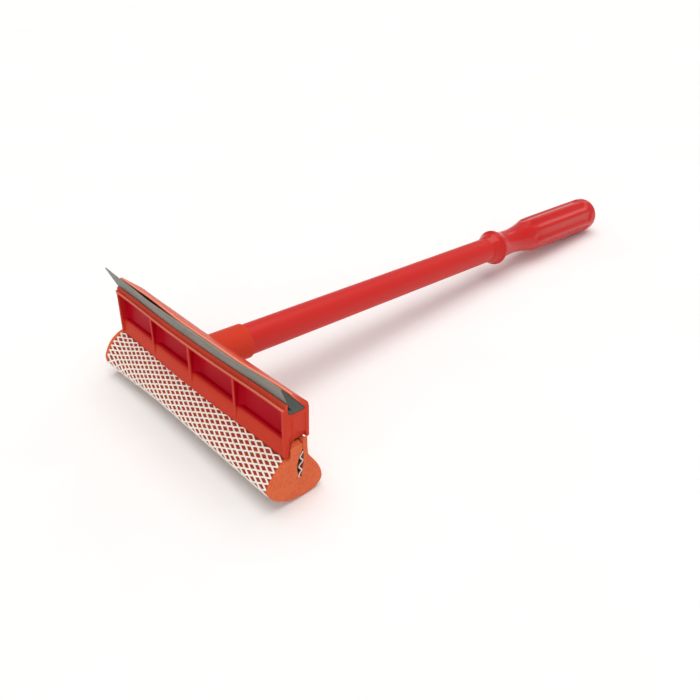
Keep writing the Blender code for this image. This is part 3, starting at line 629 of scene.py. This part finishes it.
def loosen(piece):
    """Swells the left end of the sponge or of its net."""
    points = section_points(piece)
    chosen = np.nonzero(points[:, 0] < LOOSE_FROM)[0]
    spots = points[chosen]
    guide, marks = even_points(wrap_line, GUIDE_STEPS), np.linspace(0, WRAP_LENGTH, GUIDE_STEPS + 1)
    outward = -left_normals(guide)
    nearest = np.empty(len(spots), int)
    for start in range(0, len(spots), BATCH):
        part = spots[start:start + BATCH, None, 1:]
        nearest[start:start + BATCH] = np.argmin(np.sum((part - guide[None]) ** 2, axis=2), axis=1)
    length, left = marks[nearest], -spots[:, 0]
    hold = 1 - smoothstep(np.linalg.norm(spots[:, 1:] - guide[nearest], axis=1), 1.5, 6.0)
    swell = np.interp(length, LOOSE_MARKS, LOOSE_SWELL) * smoothstep(left, 80, 103) * hold
    corner = smoothstep(length, 19, 26) * (1 - smoothstep(length, 30, 52))
    sag = LOOSE_SAG * corner * smoothstep(left, 20, 104) * hold
    longer = LOOSE_LONGER * smoothstep(left, 90, 103) * hold
    longer *= (1 - 0.6 * smoothstep(length, 21, 30)) * (1 - smoothstep(length, 60, 100))
    spots[:, 0] -= longer
    spots[:, 1:] += outward[nearest] * swell[:, None] + np.outer(sag, SAG_WAY)
    points[chosen] = spots
    move_points(piece, points)


loosen(foam_sponge)
smooth_by_angle(foam_sponge, 50)
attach(foam_sponge, "tool")
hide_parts("sponge")
print("sponge faces:", len(foam_sponge.data.polygons))

# %% [markdown]
# ## Rules in Geometry Nodes
# Three pieces follow a rule rather than a drawing: the netting, the steel strip and the fluted grip. Each
# gets a tree of its own with named inputs. What the trees share is written once: how one starts, how it
# ends, and how a piece grows from it with its own values and keeps only its plain mesh.

# %% Start, end and use of a rule
def new_rule(name, inputs):
    """A tree with named inputs. Returns it, its input sockets and a short way to write its sums."""
    tree = bpy.data.node_groups.new(name, "GeometryNodeTree")
    for label, value in inputs.items():
        kind = {float: "Float", int: "Int", tuple: "Vector", type(None): "Object"}[type(value)]
        socket = tree.interface.new_socket(label, in_out="INPUT", socket_type="NodeSocket" + kind)
        if value is not None:
            socket.default_value = value
    tree.interface.new_socket("Geometry", in_out="OUTPUT", socket_type="NodeSocketGeometry")
    return tree, tree.nodes.new("NodeGroupInput").outputs, partial(math_node, tree)


def end_rule(tree, geometry, material):
    real = add(tree, "GeometryNodeRealizeInstances", {0: geometry}).outputs[0]
    coloured = add(tree, "GeometryNodeSetMaterial", {"Geometry": real, "Material": material}).outputs[0]
    add(tree, "NodeGroupOutput", {0: coloured})
    return tree


def grow(name, rule, values):
    """A piece whose mesh a rule makes from these values."""
    sockets = {item.name: item.identifier for item in rule.interface.items_tree}
    piece = add_object(name, bpy.data.meshes.new(name))
    modifier = piece.modifiers.new("rule", "NODES")
    modifier.node_group = rule
    for label, value in values.items():
        modifier[sockets[label]] = value
    return plain_mesh(piece)


def guide_line(name, points):
    """A curve that a rule can follow."""
    curve = bpy.data.curves.new(name, "CURVE")
    curve.dimensions = "3D"
    spline = curve.splines.new("POLY")
    spline.points.add(len(points) - 1)
    for point, spot in zip(spline.points, points):
        point.co = (*spot, 1)
    return add_object(name, curve)


def vector_node(tree, operation, a, b=(0.0, 0.0, 0.0)):
    second = "Scale" if operation == "SCALE" else 1
    return add(tree, "ShaderNodeVectorMath", {0: a, second: b}, operation=operation).outputs[0]


def combine(tree, **parts):
    return add(tree, "ShaderNodeCombineXYZ", parts).outputs[0]


def own_place(tree):
    return axes(tree, tree.nodes.new("GeometryNodeInputPosition").outputs[0])


def set_place(tree, geometry, position):
    return add(tree, "GeometryNodeSetPosition", {"Geometry": geometry, "Position": position}).outputs[0]


print("rule helpers ready")

# %% [markdown]
# ## The yarn
# The cords of the netting are a cream yarn. A twisted yarn has fine fibres, so the material has a fine
# noise in its bump, and its colour goes from nearly white to a warmer tone in soft patches.

# %% Yarn material
net_yarn, tree, shader, coordinate = new_material("net_yarn")
patch = noise(tree, coordinate, 260.0, 3.0)
fibre = noise(tree, coordinate, 4200.0, 3.0, 0.7)
colour = mix_colour(tree, map_range(tree, patch, 0.3, 0.7), (1.0, 0.96, 0.88), (0.95, 0.88, 0.77))
fill(tree, shader, Base_Color=colour, Roughness=0.75, Specular_IOR_Level=0.35, Sheen_Weight=0.2,
     Sheen_Roughness=0.4)
bump(tree, shader, fibre, 0.4, 0.0002)
print("yarn ready:", net_yarn.name)

# %% [markdown]
# ## The netting
# One straight line is bent into a zigzag, copied for every row and turned over in each second row, so that
# its peaks meet. Each point is then carried to the sponge: its row number is a length round the mushroom,
# and Sample Curve finds that place and direction there. A little noise keeps the cords from being perfect.

# %% Rule for the netting
tree, given, calc = new_rule("diamond_netting", {
    "Wrap Line": None, "Length": 1.0, "Diamond Along": 1.0, "Row Height": 1.0, "Rows": 1, "Points": 2,
    "Cord Radius": 1.0, "Lift": 0.0, "Unevenness": 0.0})
half = calc("MULTIPLY", given["Length"], 0.5)
ends = {"Start": combine(tree, X=calc("MULTIPLY", half, -1.0)), "End": combine(tree, X=half)}
line = add(tree, "GeometryNodeCurvePrimitiveLine", ends).outputs[0]
fine_line = add(tree, "GeometryNodeResampleCurve", {"Curve": line, "Count": given["Points"]}).outputs[0]
rows = add(tree, "GeometryNodeDuplicateElements", {"Geometry": fine_line, "Amount": given["Rows"]},
           domain="SPLINE")
row = rows.outputs["Duplicate Index"]
along = own_place(tree)["X"]
half_cell = calc("MULTIPLY", given["Diamond Along"], 0.5)
share = calc("DIVIDE", calc("PINGPONG", along, half_cell), half_cell)
rounded = map_range(tree, share, 0.0, 1.0)
zigzag = calc("ADD", calc("MULTIPLY", share, 0.55), calc("MULTIPLY", rounded, 0.45))
turned_over = calc("ABSOLUTE", calc("SUBTRACT", calc("MODULO", row, 2.0), zigzag))
row_place = calc("MULTIPLY", calc("ADD", row, turned_over), given["Row Height"])
wrap = add(tree, "GeometryNodeObjectInfo", {"Object": given["Wrap Line"]}).outputs["Geometry"]
spot = add(tree, "GeometryNodeSampleCurve", {"Curves": wrap, "Length": row_place}, mode="LENGTH",
           use_all_curves=True).outputs
outward = vector_node(tree, "NORMALIZE",
                      vector_node(tree, "CROSS_PRODUCT", spot["Tangent"], (1.0, 0.0, 0.0)))
lifted = vector_node(tree, "SCALE", outward, given["Lift"])
on_surface = vector_node(tree, "ADD", spot["Position"], lifted)
target = vector_node(tree, "ADD", on_surface, combine(tree, X=along))
ripple = add(tree, "ShaderNodeTexNoise", {"Vector": target, "Scale": 160.0, "Detail": 1.0})
centred = vector_node(tree, "ADD", ripple.outputs["Color"], (-0.5, -0.5, -0.5))
wobble = vector_node(tree, "SCALE", centred, given["Unevenness"])
laid = set_place(tree, rows.outputs["Geometry"], vector_node(tree, "ADD", target, wobble))
cord = add(tree, "GeometryNodeCurvePrimitiveCircle", {"Resolution": 6, "Radius": given["Cord Radius"]})
tube = add(tree, "GeometryNodeCurveToMesh",
           {"Curve": laid, "Profile Curve": cord.outputs[0], "Fill Caps": True}).outputs[0]
netting = end_rule(tree, tube, net_yarn)
print("netting rule:", len(netting.nodes), "nodes")

# %% Lay the netting
wrap_guide = guide_line("wrap_guide", [place(0, *point) for point in even_points(wrap_line, GUIDE_STEPS)])
net_cords = grow("net_cords", netting, {
    "Wrap Line": wrap_guide, "Length": 2 * NET_REACH * MM, "Diamond Along": CELL_ALONG * MM,
    "Row Height": WRAP_LENGTH / ROWS * MM, "Rows": ROWS, "Points": COLUMNS * 6 + 1, "Cord Radius": 0.56 * MM,
    "Lift": 0.42 * MM, "Unevenness": 0.5 * MM})
bpy.data.objects.remove(wrap_guide)
loosen(net_cords)
net_cords.data.shade_smooth()
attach(net_cords, "tool")
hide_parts("sponge_net")
print("net faces:", len(net_cords.data.polygons))

# %% [markdown]
# ## The blade
# The blade is a long rubber wedge. Its foot fills the channel and its lip leans forward. It is flush at
# one end, and at the other it stands out and is cut slantwise, with its thin corner curling up. Rows of
# points are set along it. Each point follows the bend of the jaws, and near the loose end it is moved a
# little more, so the curl is smooth. Water leaves a film that is streaked along the blade.

# %% Rubber material
CUT_END = (0.1012, 0.1014)
blade_grey, tree, shader, coordinate = new_material("blade_grey")
stretch = add(tree, "ShaderNodeMapping", {"Vector": coordinate, "Scale": (0.25, 1.0, 1.0)})
film = noise(tree, stretch.outputs["Vector"], 140.0, 5.0, 0.6)
dust = noise(tree, coordinate, 1400.0, 2.0)
colour = mix_colour(tree, map_range(tree, film, 0.35, 0.68), (0.170, 0.195, 0.160), (0.290, 0.250, 0.225))
cut = map_range(tree, axes(tree, coordinate)["X"], *CUT_END)
fill(tree, shader, Base_Color=mix_colour(tree, cut, colour, (0.066, 0.072, 0.062)),
     Roughness=map_range(tree, film, 0.3, 0.7, 0.5, 0.72), Specular_IOR_Level=0.4)
bump(tree, shader, dust, 0.15, 0.0002)
print("rubber ready:", blade_grey.name)

# %% Blade rows
BLADE_SECTION = [(3.1, -1.3), (3.35, -2.35), (3.95, -3.35), (4.8, -3.95), (6.0, -4.1), (13.6, -4.1),
                 (14.15, -3.95), (14.5, -3.4), (-0.5, 14.75), (-0.75, 14.85), (-1.05, 14.8), (-1.25, 14.5),
                 (3.1, 3.3), (3.4, 2.4), (5.5, -1.25), (5.6, -1.4), (5.4, -1.45), (3.4, -1.12)]
TIP_SHIFT, CURL = (-1.7, -0.9), (1.2, -0.6, 2.0)
CORNER_CUT = 0.12


def smooth_section(section):
    """Rounds a closed outline a little by cutting each corner once."""
    points = [np.array(p) for p in section]
    cut = []
    for a, b in zip(points, points[1:] + points[:1]):
        share = min(0.25, CORNER_CUT / max(np.linalg.norm(b - a), 1e-6))
        cut += [a + (b - a) * share, b - (b - a) * share]
    return cut


def left_reach(rise):
    """Where the slanting cut stands at a height."""
    return -HEAD_LENGTH / 2 - 2.0 - 6.5 * smoothstep(rise, 3.0, 12.0)


def blade_point(t, depth, rise):
    """A point of the blade at a share of its length, bent with the head and curled at its loose end."""
    start = left_reach(rise)
    along = start + (HEAD_LENGTH / 2 - start) * t
    loose = smoothstep(-along, 96.0, 111.0) * smoothstep(rise, 8.5, 15.0)
    free = smoothstep(rise, 3.5, 7.5)
    upper = free * jaw_bow(along)
    lower = smoothstep(rise, -1.5, 2.5) * lip_bow(along) * (1 - free)
    return place(along + CURL[0] * loose, depth + CURL[1] * loose + TIP_SHIFT[0] * upper + LIP_SHIFT[0] * lower,
                 rise + CURL[2] * loose + TIP_SHIFT[1] * upper + LIP_SHIFT[1] * lower)


def blade_rows():
    stations = np.concatenate([np.linspace(0, 0.06, 14), np.linspace(0.06, 1, 110)[1:]])
    return [[blade_point(t, *point) for point in smooth_section(BLADE_SECTION)] for t in stations]


blade_strip = new_piece("blade_strip", lambda shape: loft(shape, blade_rows()), blade_grey)
smooth_by_angle(blade_strip, 35)
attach(blade_strip, "blade")
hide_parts("blade_rubber")
print("blade from", round(min(v.co.x for v in blade_strip.data.vertices), 4), "m")

# %% [markdown]
# ## The steel strip
# A corrugated strip stands in the sponge's slit and spreads its neck. It is a rule in itself, a sine wave
# drawn down the slit: a grid is bent into a wave that is widest at half height, and given a thickness.
# Galvanised steel shows spangles, which are a Voronoi texture.

# %% Steel material
strip_steel, tree, shader, coordinate = new_material("strip_steel")
spangle = cell_distance(tree, coordinate, 700.0)
streak = noise(tree, coordinate, 300.0, 3.0)
colour = mix_colour(tree, map_range(tree, spangle, 0.1, 0.7), (0.72, 0.72, 0.70), (0.55, 0.56, 0.56))
fill(tree, shader, Base_Color=colour, Roughness=map_range(tree, streak, 0.3, 0.7, 0.22, 0.45), Metallic=1.0)
bump(tree, shader, streak, 0.1, 0.0002)
print("steel ready:", strip_steel.name)

# %% Rule for the strip
tree, given, calc = new_rule("corrugated_strip", {
    "Height": 1.0, "Waves": 1.0, "Swing": 0.0, "End Share": 0.5, "Lean": 0.0, "Length": 1.0, "Sheet": 0.1,
    "Top": (0.0, 0.0, 0.0)})
flat = add(tree, "GeometryNodeMeshGrid", {"Size X": given["Length"], "Size Y": given["Height"],
                                          "Vertices X": 60, "Vertices Y": 90}).outputs["Mesh"]
spot = own_place(tree)
down = calc("SUBTRACT", calc("MULTIPLY", given["Height"], 0.5), spot["Y"])
share = calc("DIVIDE", down, given["Height"])
turns = calc("MULTIPLY", share, calc("MULTIPLY", given["Waves"], 2 * math.pi))
bow = calc("MULTIPLY", calc("SINE", calc("MULTIPLY", share, math.pi)),
           calc("SUBTRACT", 1.0, given["End Share"]))
reach = calc("MULTIPLY", given["Swing"], calc("ADD", bow, given["End Share"]))
across = calc("SUBTRACT", calc("MULTIPLY", calc("COSINE", turns), reach),
              calc("MULTIPLY", share, given["Lean"]))
bent = combine(tree, X=spot["X"], Y=across, Z=calc("MULTIPLY", down, -1.0))
wavy = set_place(tree, flat, vector_node(tree, "ADD", bent, given["Top"]))
thick = add(tree, "GeometryNodeExtrudeMesh", {"Mesh": wavy, "Offset Scale": given["Sheet"],
                                              "Individual": False}, mode="FACES").outputs["Mesh"]
joined = add(tree, "GeometryNodeJoinGeometry", {0: thick})
tree.links.new(add(tree, "GeometryNodeFlipFaces", {"Mesh": wavy}).outputs[0], joined.inputs[0])
welded = add(tree, "GeometryNodeMergeByDistance", {"Geometry": joined.outputs[0], "Distance": 0.000001})
corrugation = end_rule(tree, welded.outputs[0], strip_steel)
print("strip rule:", len(corrugation.nodes), "nodes")

# %% Stand the strip in the slit
steel_strip = grow("steel_strip", corrugation, {
    "Height": STRIP_HEIGHT * MM, "Waves": 2.67, "Swing": STRIP_SWING * MM, "End Share": STRIP_END_SHARE,
    "Lean": STRIP_LEAN * MM, "Length": (2 * SPONGE_REACH + 0.3) * MM, "Sheet": 0.95 * MM,
    "Top": place(0, *STRIP_TOP)})
edit_mesh(steel_strip.data, face_outward)
smooth_by_angle(steel_strip, 40)
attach(steel_strip, "tool")
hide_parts("sponge_spine")
print("strip faces:", len(steel_strip.data.polygons))

# %% [markdown]
# ## The tube
# The handle is a straight tube with a smooth red coat. A turned piece is its profile carried round the
# axis; the rows are close enough together that the highlight along it stays straight and clean.

# %% Turn the tube
TUBE_FRONT, TUBE_BACK, TUBE_STEPS = 19.7, 325.5, 128
TUBE_PROFILE = [(TUBE_FRONT, 9.7), (TUBE_FRONT, 10.9), (TUBE_FRONT + 0.2, 11.1), (TUBE_BACK - 0.2, 11.1),
                (TUBE_BACK, 10.9), (TUBE_BACK, 9.7)]


def tube_shape(shape):
    """Rings round the handle's axis, with the last joined to the first along the bore."""
    angles = [2 * math.pi * k / TUBE_STEPS for k in range(TUBE_STEPS)]
    rings = loft(shape, [[place(radius * math.cos(a), depth, AXIS_RISE + radius * math.sin(a)) for a in angles]
                         for depth, radius in TUBE_PROFILE], caps=False)
    for k in range(TUBE_STEPS):
        n = (k + 1) % TUBE_STEPS
        shape.faces.new((rings[-1][k], rings[-1][n], rings[0][n], rings[0][k]))


coated_tube = new_piece("coated_tube", tube_shape, tube_red)
smooth_by_angle(coated_tube, 40)
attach(coated_tube, "tool")
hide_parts("handle_tube")
print("tube faces:", len(coated_tube.data.polygons))

# %% [markdown]
# ## The grip
# The grip is a turned shape with eight long flutes for the fingers. It follows a rule, so Geometry Nodes
# make it: a grid is rolled up, with its rows as stations along the handle and its columns as angles. Each
# point's radius is read from a profile line, less the depth of the flute at that angle and station.

# %% Profile of the grip
GRIP_POINTS = [(312.6, 11.13), (313.2, 11.5), (314.3, 12.0), (316.0, 12.5), (318.0, 13.1), (319.5, 13.75),
               (320.4, 14.2), (321.1, 14.15), (321.6, 14.3), (322.3, 15.0), (323.2, 15.8), (324.3, 16.05),
               (325.5, 15.8), (326.8, 15.0), (328.5, 14.35), (330.5, 13.7), (333.0, 13.05), (336.0, 12.5),
               (340.0, 12.05), (344.0, 11.75), (349.0, 11.62), (354.0, 11.75), (358.0, 12.1), (362.0, 12.58),
               (366.0, 13.1), (370.0, 13.85), (373.0, 14.5), (376.0, 15.27), (378.5, 15.9), (381.0, 16.25),
               (385.0, 16.52), (395.0, 16.72), (420.0, 16.92), (455.0, 17.16), (478.0, 17.2), (482.0, 17.05),
               (484.0, 16.5), (486.0, 15.3), (488.0, 13.85), (490.0, 12.0), (492.0, 9.3), (493.6, 6.0),
               (494.4, 3.2), (494.7, 0.0)]
GRIP_STATIONS, GRIP_STEPS = 300, 193
FLUTE_BOWL = 1.7
grip_line = even_points(smooth_line(GRIP_POINTS, 16), GRIP_STATIONS)
print("grip profile:", len(grip_line), "stations")

# %% Rule for the grip
tree, given, calc = new_rule("fluted_grip", {
    "Profile": None, "Stations": 2, "Steps": 3, "Flutes": 8, "Depth": 0.0, "Width Share": 0.7, "Phase": 0.0,
    "Start": 0.0, "End": 1.0, "Run In": 0.1, "Run Out": 0.1, "Axis Height": 0.0})
sheet = add(tree, "GeometryNodeMeshGrid", {"Size X": 1.0, "Size Y": 1.0, "Vertices X": given["Stations"],
                                           "Vertices Y": given["Steps"]}).outputs["Mesh"]
spot = own_place(tree)
angle = calc("MULTIPLY", calc("ADD", spot["Y"], 0.5), 2 * math.pi)
line = add(tree, "GeometryNodeObjectInfo", {"Object": given["Profile"]}).outputs["Geometry"]
sample = add(tree, "GeometryNodeSampleCurve", {"Curves": line, "Factor": calc("ADD", spot["X"], 0.5)},
             mode="FACTOR", use_all_curves=True)
profile = axes(tree, sample.outputs["Position"])
station, radius = profile["Y"], profile["Z"]
pitch = calc("DIVIDE", 2 * math.pi, given["Flutes"])
half_pitch = calc("MULTIPLY", pitch, 0.5)
across = calc("WRAP", calc("SUBTRACT", angle, given["Phase"]), half_pitch, calc("MULTIPLY", pitch, -0.5))
across = calc("DIVIDE", across, calc("MULTIPLY", half_pitch, given["Width Share"]))
inside = calc("MAXIMUM", calc("SUBTRACT", 1.0, calc("MULTIPLY", across, across)), 0.0)
run_in = map_range(tree, station, given["Start"], calc("ADD", given["Start"], given["Run In"]))
run_out = map_range(tree, station, given["End"], calc("ADD", given["End"], given["Run Out"]), 1.0, 0.0)
bowl = calc("MULTIPLY", calc("POWER", inside, FLUTE_BOWL), calc("MULTIPLY", run_in, run_out))
reach = calc("SUBTRACT", radius, calc("MULTIPLY", bowl, given["Depth"]))
sideways = calc("MULTIPLY", reach, calc("COSINE", angle))
up = calc("ADD", calc("MULTIPLY", reach, calc("SINE", angle)), given["Axis Height"])
rolled = set_place(tree, sheet, combine(tree, X=sideways, Y=station, Z=up))
welded = add(tree, "GeometryNodeMergeByDistance", {"Geometry": rolled, "Distance": 0.000002})
fluting = end_rule(tree, welded.outputs[0], grip_red)
print("grip rule:", len(fluting.nodes), "nodes")

# %% Roll the grip
profile_guide = guide_line("profile_guide", [(0, (depth + SECTION_Y) * MM, max(radius, 0) * MM)
                                             for depth, radius in grip_line])
fluted_grip = grow("fluted_grip", fluting, {
    "Profile": profile_guide, "Stations": GRIP_STATIONS + 1, "Steps": GRIP_STEPS, "Flutes": 8,
    "Depth": 1.8 * MM, "Width Share": 0.92, "Phase": math.radians(12.8), "Start": (371.5 + SECTION_Y) * MM,
    "End": (470.5 + SECTION_Y) * MM, "Run In": 9 * MM, "Run Out": 5 * MM,
    "Axis Height": (AXIS_RISE + SECTION_Z) * MM})
bpy.data.objects.remove(profile_guide)
edit_mesh(fluted_grip.data,
          lambda shape: bmesh.ops.holes_fill(shape, edges=[e for e in shape.edges if e.is_boundary]),
          face_outward)
smooth_by_angle(fluted_grip, 30)
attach(fluted_grip, "tool")
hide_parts("grip")
print("grip faces:", len(fluted_grip.data.polygons))

# %% [markdown]
# ## Floor and light
# The tool lies on its sponge and on the end of its grip, so the floor is a plane that touches both. It is
# found by trying slopes: the lowest point of each end for the slope gives the next slope, which settles
# at once. A pale paper floor and wide, far lamps give the even studio light of the photograph.

# %% Floor
FLOOR_REACH, GRIP_FROM = 6, 0.4


def touching_slope(front, back, tries=8):
    """Slope and height of the line that touches two sets of (y, z) points from below."""
    slope = 0.0
    for _ in range(tries):
        low_front = min(front, key=lambda p: p[1] - slope * p[0])
        low_back = min(back, key=lambda p: p[1] - slope * p[0])
        slope = (low_back[1] - low_front[1]) / (low_back[0] - low_front[0])
    return slope, low_front[1] - slope * low_front[0]


front_points = [(v.co.y, v.co.z) for v in net_cords.data.vertices]
back_points = [(v.co.y, v.co.z) for v in fluted_grip.data.vertices if v.co.y > GRIP_FROM]
slope, height = touching_slope(front_points, back_points)
corners = [(FLOOR_REACH * x, FLOOR_REACH * y) for x, y in ((-1, -1), (1, -1), (1, 1), (-1, 1))]
floor_mesh = bpy.data.meshes.new("studio_floor")
floor_mesh.from_pydata([(x, y, height + slope * y) for x, y in corners], [], [(0, 1, 2, 3)])
studio_floor = add_object("studio_floor", floor_mesh)
pale_floor, tree, shader, coordinate = new_material("pale_floor")
pulp = noise(tree, coordinate, 6.0, 5.0, 0.6)
tooth = noise(tree, coordinate, 900.0, 3.0, 0.6)
paper = mix_colour(tree, map_range(tree, pulp, 0.3, 0.7), (0.93, 0.93, 0.925), (0.90, 0.90, 0.90))
fill(tree, shader, Base_Color=paper, Roughness=map_range(tree, tooth, 0.3, 0.7, 0.85, 0.95),
     Specular_IOR_Level=0.1)
bump(tree, shader, tooth, 0.08, 0.0003)
floor_mesh.materials.append(pale_floor)
print("the tool leans", round(math.degrees(math.atan(slope)), 2), "degrees")


# %% Lamps
def soft_lamp(name, direction, spread, strength, colour=(1, 1, 1)):
    """A wide, far lamp: its strength is the same all over the floor, and its spread in degrees softens it."""
    lamp = bpy.data.lights.new(name, "SUN")
    lamp.angle = math.radians(spread)
    lamp.energy = strength
    lamp.color = colour
    holder = add_object(name, lamp)
    holder.rotation_euler = Vector(direction).normalized().to_track_quat("Z", "Y").to_euler()


soft_lamp("overhead", (-0.02, 0.05, 1.0), 60, 1.88, (1.0, 0.98, 0.95))
soft_lamp("sparkle", (-0.16, 0.83, 0.535), 12, 0.04, (1.0, 0.96, 0.90))
soft_lamp("side_fill", (0.9, -0.1, 0.35), 80, 0.5)
soft_lamp("front_fill", (0.3, -0.9, 0.25), 70, 0.42)

# %% [markdown]
# The surroundings are grey, so that the red stays deep, with a white backdrop low down behind the tool. It
# is a bright band near the horizon that fades upwards and towards the camera's side.

# %% Backdrop
AWAY, SKY_LEVEL, BACKDROP_LEVEL = (-0.73, 0.68, 0.0), 0.42, 0.65
world = bpy.data.worlds.new("studio")
world.use_nodes = True
sky = world.node_tree
look = sky.nodes.new("ShaderNodeTexCoord").outputs["Generated"]
facing = add(sky, "ShaderNodeVectorMath", {0: look, 1: AWAY}, operation="DOT_PRODUCT").outputs["Value"]
behind = map_range(sky, facing, -0.6, 0.4, 0.0, BACKDROP_LEVEL)
low_down = map_range(sky, axes(sky, look)["Z"], 0.05, 0.16, 1.0, 0.0)
fill(sky, sky.nodes["Background"], Color=(1, 1, 1, 1),
     Strength=math_node(sky, "ADD", math_node(sky, "MULTIPLY", behind, low_down), SKY_LEVEL))
bpy.context.scene.world = world
bpy.context.scene.view_settings.view_transform = "Standard"
print("backdrop set:", world.name)
